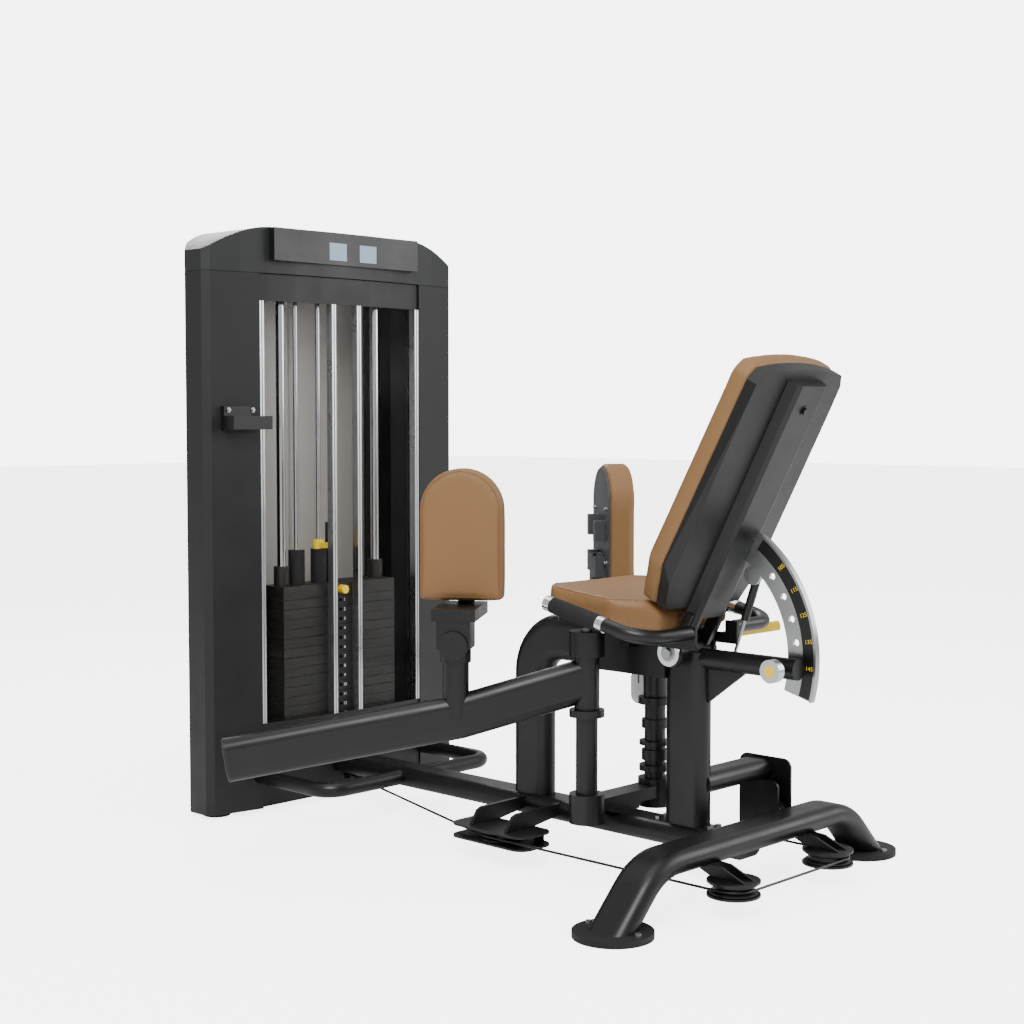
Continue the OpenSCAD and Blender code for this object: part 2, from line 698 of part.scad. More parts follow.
module front_rails() color([0.78, 0.78, 0.78]) placed()
    for (s = [-1, 1]) for (x = [46, window_w / 2 - 8])
        translate([s * x - 7, front_y(x) + 3, window_low]) difference() {
            cube([14, 24, window_top - window_low]);
            translate([5, -1, -1]) cube([4, 5, window_top]);
        }

module front_panes() color([0.75, 0.77, 0.78, 0.25]) placed()
    for (s = [-1, 1]) on_side(s) translate([53 + gap, tower_y + 16, window_low])
        cube([window_w / 2 - 15 - 53 - 2 * gap, 3, window_top - window_low]);

module rear_shroud() color([0.62, 0.62, 0.62, 0.6]) placed() difference() {
    translate([-window_w / 2 + gap, tower_back - 5, 30]) cube([window_w - 2 * gap, 5, seam_z - 36]);
    for (x = [-1, 1]) for (z = [60, seam_z - 40])
        translate([x * 250, tower_back - 6, z]) rotate([-90, 0, 0]) cylinder(d = 8, h = 10);
}

module tower_frame() color([0.14, 0.14, 0.14]) placed() {
    difference() {
        union() {
            translate([-window_w / 2 + 5, tower_y + 34, side_z0]) cube([window_w - 10, 160, 12]);
            translate([-window_w / 2 + 5, tower_y + 34, seam_z - 14]) cube([window_w - 10, 160, 12]);
        }
        for (s = [-1, 1]) translate([s * rod_x, stack_y, 18]) cylinder(d = rod_d, h = seam_z);
        for (x = increment_x) translate([x, stack_y, 18]) cylinder(d = 14, h = seam_z);
        translate([-15, stack_y - 16, seam_z - 30]) cube([30, 200, 40]);
    }
    for (s = [-1, 1]) on_side(s) translate([228, tower_y + 136, side_z0 + 12])
        cube([55, 58, seam_z - 26 - side_z0]);
    difference() {
        translate([-tube_w / 2 - 10, tower_y + 12, side_z0 + 12]) cube([tube_w + 20, 14, beam_top - side_z0]);
        translate([-12, tower_y, cable_z - 12]) cube([24, 40, 24]);
    }
    translate([-tube_w / 2 - 10, tower_y + 12, side_z0]) cube([tube_w + 20, 24, 12]);
    for (s = [-1, 1]) on_side(s) {
        translate([15, base_pulley[1] - 20, side_z0 + 12]) cube([6, 40, base_pulley[2] + 6 - side_z0]);
        translate([15, top_pulley[1] - 20, seam_z - 2]) cube([6, 40, top_pulley[2] + 20 - seam_z]);
    }
    for (c = [base_pulley, top_pulley]) translate(c) rotate([0, 90, 0])
        cylinder(d = axle_d - 2 * fit, h = 34, center = true);
}

module guide_rods() color([0.80, 0.80, 0.80]) placed()
    for (s = [-1, 1]) translate([s * rod_x, stack_y, 18]) cylinder(d = rod_d, h = seam_z - 26);

module increment_rods() color([0.75, 0.75, 0.75]) placed()
    for (x = increment_x) translate([x, stack_y, increment_z0])
        cylinder(d = 14, h = seam_z - 8 - increment_z0);

module plate_blank(t) difference() {
    translate([-stack_w / 2, stack_y - stack_d / 2, 0]) cube([stack_w, stack_d, t]);
    for (s = [-1, 1]) translate([s * rod_x, stack_y, -1]) cylinder(d = rod_d + 2, h = t + 2);
    translate([0, stack_y, -1]) cylinder(d = 34, h = t + 2);
}

module stack_plates() color([0.18, 0.17, 0.16]) placed()
    for (i = [0:plate_count - 1]) translate([0, 0, stack_z + i * plate_pitch]) difference() {
        plate_blank(plate_pitch - 1);
        translate([0, stack_y - stack_d, plate_pitch / 2]) rotate([-90, 0, 0])
            cylinder(d = selector_hole_d, h = stack_d);
    }

module stack_bumpers() color([0.06, 0.06, 0.06]) placed()
    for (s = [-1, 1]) translate([s * rod_x, stack_y, side_z0 + 12]) difference() {
        cylinder(d = 60, h = stack_z - 1 - side_z0 - 12);
        translate([0, 0, -1]) cylinder(d = rod_d + 2 * fit, h = stack_z);
    }

module head_plate() color([0.10, 0.10, 0.10]) placed() {
    difference() {
        translate([0, 0, stack_top]) plate_blank(head_plate_t);
        translate([0, stack_y - stack_d, stack_top + head_plate_t / 2]) rotate([-90, 0, 0])
            cylinder(d = selector_hole_d, h = stack_d);
        for (x = increment_x) translate([x, stack_y, stack_top - 1]) cylinder(d = 18, h = head_plate_t + 2);
    }
    difference() {
        translate([0, stack_y, stack_z + 12]) cylinder(d = 24, h = stack_top + head_plate_t + stem_h - stack_z - 12);
        translate([0, stack_y, stack_top + head_plate_t + stem_h - 200]) cylinder(d = cable_d + 2 * fit, h = 210);
        translate([0, stack_y - stack_d, stack_top + head_plate_t / 2]) rotate([-90, 0, 0])
            cylinder(d = selector_hole_d, h = stack_d);
    }
    for (s = [-1, 1]) translate([s * rod_x, stack_y, stack_top + head_plate_t]) difference() {
        cylinder(d = 44, h = 54);
        translate([0, 0, -1]) cylinder(d = rod_d + 2 * fit, h = 60);
    }
}

module increment_weights() color([0.08, 0.08, 0.08]) placed()
    for (x = increment_x) translate([x, stack_y, stack_top + head_plate_t + gap]) difference() {
        cylinder(d = 46, h = 96);
        translate([0, 0, -1]) cylinder(d = 14 + 2 * fit, h = 98);
    }

module increment_lever() color([0.86, 0.74, 0.10]) placed()
    translate([increment_x[1], stack_y, stack_top + head_plate_t + 96 + 2 * gap]) {
        difference() {
            cylinder(d = 34, h = 26);
            translate([0, 0, -1]) cylinder(d = 14 + 2 * fit, h = 30);
        }
        difference() {
            translate([-9, -50, 4]) cube([18, 42, 14]);
            translate([0, 0, -1]) cylinder(d = 20, h = 30);
        }
    }

module selector_pin() color([0.80, 0.85, 0.20]) placed()
    translate([0, stack_y - stack_d / 2, stack_top + head_plate_t / 2]) rotate([90, 0, 0]) {
        translate([0, 0, gap]) cylinder(d = 24, h = 22);
        translate([0, 0, -30]) cylinder(d = selector_hole_d - 1, h = 34);
    }

module bottle_hook() color([0.14, 0.14, 0.14]) placed() difference() {
    translate([-tower_w / 2 + 44, front_y(corner_x), 1046]) {
        translate([0, -20, 0]) cube([116, 24, 62]);
        translate([0, -56, 0]) cube([8, 42, 36]);
        translate([0, -62, 0]) cube([128, 6, 36]);
    }
    translate([0, 0, 1000]) linear_extrude(200) tower_plan(0);
}

// ---- Pulleys and cable ----

module pulley_wheel(r) rotate_extrude($fn = 96)
    polygon([[axle_d / 2, -pulley_t / 2], [r + flange, -pulley_t / 2], [r + flange, -pulley_t / 2 + 3],
        [r, -cable_d / 2 - 1], [r, cable_d / 2 + 1], [r + flange, pulley_t / 2 - 3],
        [r + flange, pulley_t / 2], [axle_d / 2, pulley_t / 2]]);

module lying_pulley(c) color([0.09, 0.09, 0.09]) placed() translate(c) pulley_wheel(pulley_r);

module standing_pulley(c, r) color([0.09, 0.09, 0.09]) placed()
    translate(c) rotate([0, 90, 0]) pulley_wheel(r);

module housing_cheeks() {
    for (s = [-1, 1]) translate([0, 0, s * (pulley_t / 2 + 4)])
        cylinder(r = pulley_r + flange + 6, h = 5, center = true);
    cylinder(d = axle_d - 2 * fit, h = pulley_t + 8, center = true);
}

module mid_housing() translate(mid_pulley) {
    housing_cheeks();
    for (s = [-1, 1]) translate([0, 0, s * (pulley_t / 2 + 4) - 2.5]) linear_extrude(5)
        rounded_plate(2 * pulley_r + 28, 252, 34);
    translate([pulley_r + 9, -90, -pulley_t / 2 - 6.5]) cube([5, 30, pulley_t + 13]);
    translate([pulley_r + 9, 60, -pulley_t / 2 - 6.5]) cube([5, 30, pulley_t + 13]);
    for (y = [-52, 66]) translate([0, y, pulley_t / 2 + 6.5]) rotate([90, 0, 0]) linear_extrude(10)
        polygon([[-44, 0], [50, 0], [-mid_pulley[0] - 38, 14], [-mid_pulley[0] - 38, 42], [-6, 40], [-20, 34]]);
}

module rear_housing(s) on_side(s) translate(rear_pulley) {
    housing_cheeks();
    for (x = [-20, 14]) translate([x, 0, pulley_t / 2 + 6.5]) rotate([90, 0, 90]) linear_extrude(6)
        polygon([[-44, 0], [44, 0], [-rear_pulley[1] - 8, 18], [-rear_pulley[1] - 8, 30], [20, 26]]);
}

module pulley_housings() color([0.11, 0.11, 0.11]) placed() difference() {
    union() {
        mid_housing();
        rear_housing(-1);
        rear_housing(1);
    }
    beam_solid();
    foot_solid();
}

// Angle on a pulley where a line from p touches the cable circle about c, on the -X side
function touch_angle(c, p) = atan2(p[1] - c[1], p[0] - c[0]) + acos(cable_r / norm([p[0] - c[0], p[1] - c[1]]));
function on_circle(c, a) = [c[0] + cable_r * cos(a), c[1] + cable_r * sin(a), c[2]];

cable_exit = tower_y - 12;
mid_start = touch_angle(mid_pulley, [0, cable_exit]);
left_rear = [-rear_pulley[0], rear_pulley[1], rear_pulley[2]];
mid_end = atan2(mid_pulley[1] - left_rear[1], mid_pulley[0] - left_rear[0]) + 90;

module flat_bend(c, a0, a1) translate(c) rotate([0, 0, a0 + splice])
    rotate_extrude(angle = a1 - a0 - 2 * splice, $fn = 96) translate([cable_r, 0]) circle(d = cable_d, $fn = 24);

module upright_bend_of(c, r, a0, a1) translate(c) rotate([90, 0, 90]) rotate([0, 0, a0 + splice])
    rotate_extrude(angle = a1 - a0 - 2 * splice, $fn = 96) translate([r, 0]) circle(d = cable_d, $fn = 24);

module drive_cable() color([0.05, 0.05, 0.05]) placed() {
    translate([0, stack_y, stack_top + head_plate_t + stem_h - 12])
        cylinder(d = cable_d, h = top_pulley[2] - stack_top - head_plate_t - stem_h + 12);
    upright_bend_of(top_pulley, top_r + cable_d / 2 + gap, 0, 180);
    translate([0, down_y, base_pulley[2]]) cylinder(d = cable_d, h = top_pulley[2] - base_pulley[2]);
    upright_bend_of(base_pulley, cable_r, -90, 0);
    translate([0, cable_exit + 1, cable_z]) rotate([-90, 0, 0])
        cylinder(d = cable_d, h = base_pulley[1] - cable_exit - 1);
    rod([0, cable_exit, cable_z], on_circle(mid_pulley, mid_start), cable_d);
    flat_bend(mid_pulley, mid_start, mid_end);
    rod(on_circle(mid_pulley, mid_end), on_circle(left_rear, mid_end), cable_d);
    flat_bend(left_rear, mid_end, 270);
    translate([left_rear[0], left_rear[1] - cable_r, cable_z]) rotate([0, 90, 0])
        cylinder(d = cable_d, h = 2 * rear_pulley[0]);
    flat_bend(rear_pulley, -90, 0);
    translate([side_pulley[0], rear_pulley[1], cable_z]) rotate([-90, 0, 0])
        cylinder(d = cable_d, h = side_pulley[1] - rear_pulley[1]);
    upright_bend_of(side_pulley, cable_r, -90, 0);
    translate([side_pulley[0], side_pulley[1] + cable_r, side_pulley[2]])
        cylinder(d = cable_d, h = 204 - side_pulley[2]);
}

main_beam();
rear_foot();
floor_discs();
seat_column();
curved_upright();
seat_carrier();
post_base();
post_head();
pivot_posts();
support_tube();
front_loop();
side_outrigger();
frame_bolts();
seat_board();
seat_cushion();
seat_handles();
handle_grips();
grip_collars();
hinge_pin();
tower_frame();
side_covers();
header_cover();
front_panels();
name_plate();
front_rails();
front_panes();
rear_shroud();
guide_rods();
increment_rods();
stack_plates();
stack_bumpers();
bottle_hook();
pulley_housings();
drive_cable();
leg_arm(-1);  // left_arm
leg_arm(1);  // right_arm
pad_swivel(-1);  // left_swivel
pad_swivel(1);  // right_swivel
pad_plate(-1);  // left_pad_plate
pad_plate(1);  // right_pad_plate
thigh_pad(-1);  // left_pad
thigh_pad(1);  // right_pad
back_frame();
back_shell();
back_cushion();
sector_plate();
gas_cylinder();
gas_rod();
lock_plunger();
range_lever();
head_plate();
increment_weights();
increment_lever();
selector_pin();
lying_pulley(mid_pulley);
lying_pulley(left_rear);  // left_rear_pulley
lying_pulley(rear_pulley);  // right_rear_pulley
standing_pulley(side_pulley, pulley_r);
standing_pulley(base_pulley, pulley_r);
standing_pulley(top_pulley, top_r);
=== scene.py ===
"""Hip abductor machine: finishes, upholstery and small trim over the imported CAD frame.

Lengths are metres in the shared frame: +Z up, +Y the way the seated user faces,
origin on the floor at the middle of the machine.
"""

from __future__ import annotations

import math
from dataclasses import dataclass, field
from enum import Enum
from typing import Iterable

import bmesh
import bpy
from mathutils import Matrix, Vector

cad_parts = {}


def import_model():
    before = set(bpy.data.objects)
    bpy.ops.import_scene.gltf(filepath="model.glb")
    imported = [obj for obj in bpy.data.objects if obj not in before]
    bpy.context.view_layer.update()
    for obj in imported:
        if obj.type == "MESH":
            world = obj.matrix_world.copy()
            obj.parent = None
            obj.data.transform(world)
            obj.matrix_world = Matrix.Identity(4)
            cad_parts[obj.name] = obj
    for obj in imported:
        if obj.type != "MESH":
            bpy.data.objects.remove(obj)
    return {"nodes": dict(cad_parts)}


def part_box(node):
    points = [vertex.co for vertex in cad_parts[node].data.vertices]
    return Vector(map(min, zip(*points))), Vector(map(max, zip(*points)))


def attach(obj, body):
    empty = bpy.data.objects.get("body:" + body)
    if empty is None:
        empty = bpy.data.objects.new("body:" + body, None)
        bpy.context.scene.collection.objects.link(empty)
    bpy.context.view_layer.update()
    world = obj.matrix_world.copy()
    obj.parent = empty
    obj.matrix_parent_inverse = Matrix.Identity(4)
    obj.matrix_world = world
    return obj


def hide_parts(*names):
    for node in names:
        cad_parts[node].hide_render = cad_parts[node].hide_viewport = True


MM = 0.001
# Reflectance of the satin plastics and paints, below the usual 0.5
SPECULAR_LEVEL = 0.38
# Roughness of every clear coat
COAT_ROUGHNESS = 0.3
# Half the side of the square studio floor, in metres
FLOOR_HALF = 30.0
# Height that the lights aim at, in metres
AIM_HEIGHT = 0.7
# Length of the short cloth run in frames
CLOTH_FRAMES = 12
# How far in from a cushion's edge its seam runs, in millimetres
SEAM_INSET = 7.0
# A direction that no seam runs along, used to start each ring of its section
SECTION_GUIDE = (0.31, 0.52, 0.79)


class Grain(Enum):
    """Surface relief that a finish carries."""

    NONE = "none"
    POWDER = "powder"
    LEATHER = "leather"
    MOULDED = "moulded"
    BRUSHED = "brushed"
    CAST = "cast"
    FOAM = "foam"


@dataclass(frozen=True)
class Finish:
    """One real material.

    Args:
        name: The material's real name.
        colour: Base colour as an sRGB hex string.
        rough: Mean roughness.
        metal: Metallic amount.
        grain: Kind of surface relief.
        scale_mm: Size of one grain of that relief in millimetres.
        depth: Strength of the relief.
        vary: How far the roughness and tone wander.
        coat: Clear coat amount.
        alpha: Opacity, below 1 for clear sheets.
        glow: Light given off, for the stage only.
    """

    name: str
    colour: str
    rough: float
    metal: float = 0.0
    grain: Grain = Grain.NONE
    scale_mm: float = 1.0
    depth: float = 0.1
    vary: float = 0.06
    coat: float = 0.0
    alpha: float = 1.0
    glow: float = 0.0


# Polyester powder coat over welded steel tube, satin black
POWDER_COAT = Finish("satin black powder coat", "#0b0b0b", 0.38, 0.0, Grain.POWDER, 0.9, 0.10, 0.05)
# Injection moulded ABS tower covers
COVER_ABS = Finish("charcoal textured ABS", "#131314", 0.48, 0.0, Grain.MOULDED, 0.8, 0.12, 0.06)
# Header moulding, a shade lighter than the covers
HEADER_ABS = Finish("slate textured ABS", "#18191a", 0.46, 0.0, Grain.MOULDED, 0.8, 0.10, 0.06)
# Raised header plate, smoother and darker
PLATE_ABS = Finish("satin graphite ABS", "#101112", 0.34, 0.0, Grain.MOULDED, 0.5, 0.05, 0.05)
# Vacuum formed back shell
SHELL_ABS = Finish("black moulded ABS shell", "#0b0b0c", 0.42, 0.0, Grain.MOULDED, 1.0, 0.14, 0.06)
# Polyurethane coated fabric over foam, tan
TAN_VINYL = Finish("tan polyurethane upholstery", "#765633", 0.56, 0.0, Grain.LEATHER, 1.4, 0.20, 0.07)
# The same cover's sewn edge piping
TAN_PIPING = Finish("tan piping", "#6a4c2c", 0.52, 0.0, Grain.LEATHER, 1.6, 0.15, 0.05)
# Compression moulded rubber
RUBBER = Finish("black moulded rubber", "#0e0e0e", 0.72, 0.0, Grain.MOULDED, 1.2, 0.12, 0.08)
# Nitrile foam hand grip
FOAM = Finish("black nitrile foam", "#141415", 0.85, 0.0, Grain.FOAM, 1.5, 0.3, 0.05)
# Hard chromium plate on ground steel
CHROME = Finish("hard chrome plate", "#d9dadb", 0.12, 1.0, Grain.NONE, 1.0, 0.0, 0.04)
# Clear anodised extrusion
ANODISED = Finish("clear anodised aluminium", "#c4c6c8", 0.30, 1.0, Grain.BRUSHED, 0.6, 0.05, 0.06)
# Zinc plated steel
ZINC = Finish("zinc plated steel", "#9fa2a4", 0.34, 1.0, Grain.CAST, 1.5, 0.04, 0.08)
# Laser cut sector plate, bright plated
PLATED_SECTOR = Finish("nickel plated steel plate", "#a3a5a6", 0.33, 1.0, Grain.BRUSHED, 1.0, 0.04, 0.08)
# Extruded acrylic window
ACRYLIC = Finish("clear acrylic sheet", "#101212", 0.08, 0.0, Grain.NONE, 1.0, 0.0, 0.0, alpha=0.03)
# Smoked polycarbonate rear sheet
SMOKED = Finish("smoked polycarbonate sheet", "#a19d97", 0.34, 0.0, Grain.NONE, 1.0, 0.0, 0.03, alpha=0.93)
# Painted cast iron weight plates
CAST_IRON = Finish("painted cast iron", "#1c1a18", 0.52, 0.0, Grain.CAST, 2.5, 0.14, 0.08)
# Glossy thermoplastic adjustment parts
YELLOW = Finish("yellow nylon", "#e3bf16", 0.34, 0.0, Grain.MOULDED, 0.8, 0.04, 0.04)
# Painted aluminium sheet behind the thigh pads
PAD_BACK = Finish("grey painted aluminium sheet", "#3b3d40", 0.45, 0.0, Grain.POWDER, 0.8, 0.06, 0.05)
# Machined nylon pulleys
NYLON = Finish("black nylon", "#0d0d0d", 0.38, 0.0, Grain.NONE, 1.0, 0.0, 0.05)
# Nylon coated wire rope
ROPE = Finish("coated wire rope", "#111112", 0.32, 0.0, Grain.NONE, 1.0, 0.0, 0.04)
# White screen printed marks
WHITE_INK = Finish("white screen ink", "#e4e4e0", 0.5, 0.0, Grain.NONE, 1.0, 0.0, 0.02)
# Yellow screen printed marks
YELLOW_INK = Finish("yellow screen ink", "#d9b41c", 0.5, 0.0, Grain.NONE, 1.0, 0.0, 0.02)
# Anodised black scale band on the sector
SCALE_BAND = Finish("black anodised scale band", "#0c0c0c", 0.38, 0.0, Grain.NONE, 1.0, 0.0, 0.04)
# Injection moulded end plugs for the oval tubes
PLUG = Finish("black polyethylene tube plug", "#161616", 0.46, 0.0, Grain.MOULDED, 0.6, 0.05, 0.05)
# Printed picture tiles on the header
TILE = Finish("printed picture tile", "#7f98a8", 0.35, 0.0, Grain.NONE, 1.0, 0.0, 0.03)
# Matt painted studio floor
FLOOR = Finish("pale studio floor", "#fbfbfa", 0.8, 0.0, Grain.NONE, 1.0, 0.0, 0.0, glow=4.0)

NODE_FINISH: dict[str, Finish] = {
    "side_covers": COVER_ABS, "front_panels": COVER_ABS, "header_cover": HEADER_ABS,
    "name_plate": PLATE_ABS, "back_shell": SHELL_ABS, "floor_discs": RUBBER,
    "stack_bumpers": RUBBER, "increment_weights": RUBBER, "handle_grips": FOAM,
    "grip_collars": CHROME, "guide_rods": CHROME, "increment_rods": CHROME,
    "hinge_pin": CHROME, "front_rails": ANODISED, "lock_plunger": ANODISED,
    "frame_bolts": ZINC, "gas_rod": ZINC, "sector_plate": PLATED_SECTOR,
    "front_panes": ACRYLIC, "rear_shroud": SMOKED, "stack_plates": CAST_IRON,
    "head_plate": CAST_IRON, "range_lever": YELLOW, "increment_lever": YELLOW,
    "selector_pin": YELLOW, "left_pad_plate": PAD_BACK, "right_pad_plate": PAD_BACK,
    "mid_pulley": NYLON, "left_rear_pulley": NYLON, "right_rear_pulley": NYLON,
    "side_pulley": NYLON, "base_pulley": NYLON, "top_pulley": NYLON,
    "seat_board": NYLON, "drive_cable": ROPE,
}


def linear(hex_colour: str) -> tuple[float, float, float, float]:
    """Convert an sRGB hex colour to linear RGBA.

    Args:
        hex_colour: Colour as "#rrggbb".

    Returns:
        The colour in linear light with alpha 1.
    """
    channels = [int(hex_colour[i : i + 2], 16) / 255 for i in (1, 3, 5)]
    light = [c / 12.92 if c <= 0.04045 else ((c + 0.055) / 1.055) ** 2.4 for c in channels]
    return (light[0], light[1], light[2], 1.0)


def shade(colour: tuple[float, ...], factor: float) -> tuple[float, float, float, float]:
    """Scale a linear colour's brightness.

    Args:
        colour: Linear RGBA.
        factor: Brightness factor.

    Returns:
        The scaled colour.
    """
    return (colour[0] * factor, colour[1] * factor, colour[2] * factor, 1.0)


class FinishLibrary:
    """Builds each finish's procedural material once."""

    def __init__(self) -> None:
        """Start with no materials."""
        self._made: dict[str, bpy.types.Material] = {}

    def get(self, finish: Finish) -> bpy.types.Material:
        """Return the material for a finish.

        Args:
            finish: The finish wanted.

        Returns:
            Its Blender material.
        """
        if finish.name not in self._made:
            self._made[finish.name] = self._build(finish)
        return self._made[finish.name]

    def _build(self, finish: Finish) -> bpy.types.Material:
        """Build the node tree of one finish."""
        material = bpy.data.materials.new(finish.name)
        material.use_nodes = True
        tree = material.node_tree
        shader = tree.nodes["Principled BSDF"]
        base = linear(finish.colour)
        shader.inputs["Base Color"].default_value = base
        shader.inputs["Roughness"].default_value = finish.rough
        shader.inputs["Metallic"].default_value = finish.metal
        shader.inputs["Coat Weight"].default_value = finish.coat
        shader.inputs["Specular IOR Level"].default_value = SPECULAR_LEVEL
        shader.inputs["Coat Roughness"].default_value = COAT_ROUGHNESS
        shader.inputs["Alpha"].default_value = finish.alpha
        if finish.glow > 0:
            self._glow(tree, shader, finish)
        if finish.vary > 0:
            self._wander(tree, shader, finish, base)
        if finish.grain is not Grain.NONE:
            self._relief(tree, shader, finish)
        return material

    def _glow(self, tree: bpy.types.NodeTree, shader: bpy.types.Node, finish: Finish) -> None:
        """Lift the floor towards white without lighting the machine from below."""
        shader.inputs["Emission Color"].default_value = linear(finish.colour)
        seen = self.add(tree, "ShaderNodeLightPath")
        level = self.add(tree, "ShaderNodeMapRange", To_Min=0.0, To_Max=finish.glow)
        tree.links.new(seen.outputs["Is Camera Ray"], level.inputs["Value"])
        tree.links.new(level.outputs["Result"], shader.inputs["Emission Strength"])

    @staticmethod
    def add(tree: bpy.types.NodeTree, kind: str, **sockets: object) -> bpy.types.Node:
        """Add a node and set its input sockets.

        Args:
            tree: Node tree to add to.
            kind: Node type.
            **sockets: Input socket values, with underscores for spaces.

        Returns:
            The new node.
        """
        node = tree.nodes.new(kind)
        for name, value in sockets.items():
            node.inputs[name.replace("_", " ")].default_value = value
        return node

    def _wander(self, tree: bpy.types.NodeTree, shader: bpy.types.Node, finish: Finish,
                base: tuple[float, float, float, float]) -> None:
        """Let tone and roughness drift over tens of millimetres, as handled surfaces do."""
        place = self.add(tree, "ShaderNodeTexCoord")
        cloud = self.add(tree, "ShaderNodeTexNoise", Scale=9.0, Detail=5.0, Roughness=0.6)
        tree.links.new(place.outputs["Object"], cloud.inputs["Vector"])
        rough = self.add(tree, "ShaderNodeMapRange", From_Min=0.3, From_Max=0.7,
                         To_Min=finish.rough - finish.vary, To_Max=finish.rough + finish.vary)
        tree.links.new(cloud.outputs["Fac"], rough.inputs["Value"])
        tree.links.new(rough.outputs["Result"], shader.inputs["Roughness"])
        tone = self.add(tree, "ShaderNodeMix")
        tone.data_type = "RGBA"
        tone.inputs[6].default_value = shade(base, 1.0 - finish.vary)
        tone.inputs[7].default_value = shade(base, 1.0 + finish.vary)
        tree.links.new(cloud.outputs["Fac"], tone.inputs[0])
        tree.links.new(tone.outputs[2], shader.inputs["Base Color"])

    def _relief(self, tree: bpy.types.NodeTree, shader: bpy.types.Node, finish: Finish) -> None:
        """Give the surface its own fine relief at a true size."""
        place = self.add(tree, "ShaderNodeTexCoord")
        scale = 1.0 / (finish.scale_mm * MM)
        if finish.grain is Grain.LEATHER:
            cells = self.add(tree, "ShaderNodeTexVoronoi", Scale=scale)
            cells.feature = "DISTANCE_TO_EDGE"
            height = cells.outputs["Distance"]
        elif finish.grain is Grain.BRUSHED:
            stretch = self.add(tree, "ShaderNodeMapping", Scale=(scale, scale, scale * 0.02))
            tree.links.new(place.outputs["Object"], stretch.inputs["Vector"])
            cells = self.add(tree, "ShaderNodeTexNoise", Scale=1.0, Detail=3.0)
            tree.links.new(stretch.outputs["Vector"], cells.inputs["Vector"])
            height = cells.outputs["Fac"]
        else:
            detail = 6.0 if finish.grain in (Grain.CAST, Grain.FOAM) else 2.0
            cells = self.add(tree, "ShaderNodeTexNoise", Scale=scale, Detail=detail)
            height = cells.outputs["Fac"]
        if finish.grain is not Grain.BRUSHED:
            tree.links.new(place.outputs["Object"], cells.inputs["Vector"])
        bump = self.add(tree, "ShaderNodeBump", Strength=finish.depth, Distance=finish.scale_mm * MM * 0.5)
        tree.links.new(height, bump.inputs["Height"])
        tree.links.new(bump.outputs["Normal"], shader.inputs["Normal"])


FINISHES = FinishLibrary()


def cad(node: str) -> bpy.types.Object:
    """Return a CAD node's object.

    Args:
        node: Node name.

    Returns:
        The object in the frame.
    """
    return FRAME["nodes"][node]


def centre_of(node: str) -> Vector:
    """Return the middle of a CAD node's box."""
    low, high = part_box(node)
    return (Vector(low) + Vector(high)) / 2


def new_piece(name: str, mesh: bmesh.types.BMesh, finish: Finish, body: str) -> bpy.types.Object:
    """Make an object from a bmesh, give it its finish and let it ride on a body.

    Args:
        name: Object name.
        mesh: Finished mesh in the row frame; it is freed here.
        finish: Its finish.
        body: The CAD body it rides on.

    Returns:
        The new object, at the origin.
    """
    data = bpy.data.meshes.new(name)
    bmesh.ops.recalc_face_normals(mesh, faces=mesh.faces)
    mesh.to_mesh(data)
    mesh.free()
    piece = bpy.data.objects.new(name, data)
    bpy.context.scene.collection.objects.link(piece)
    data.materials.append(FINISHES.get(finish))
    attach(piece, body)
    return piece


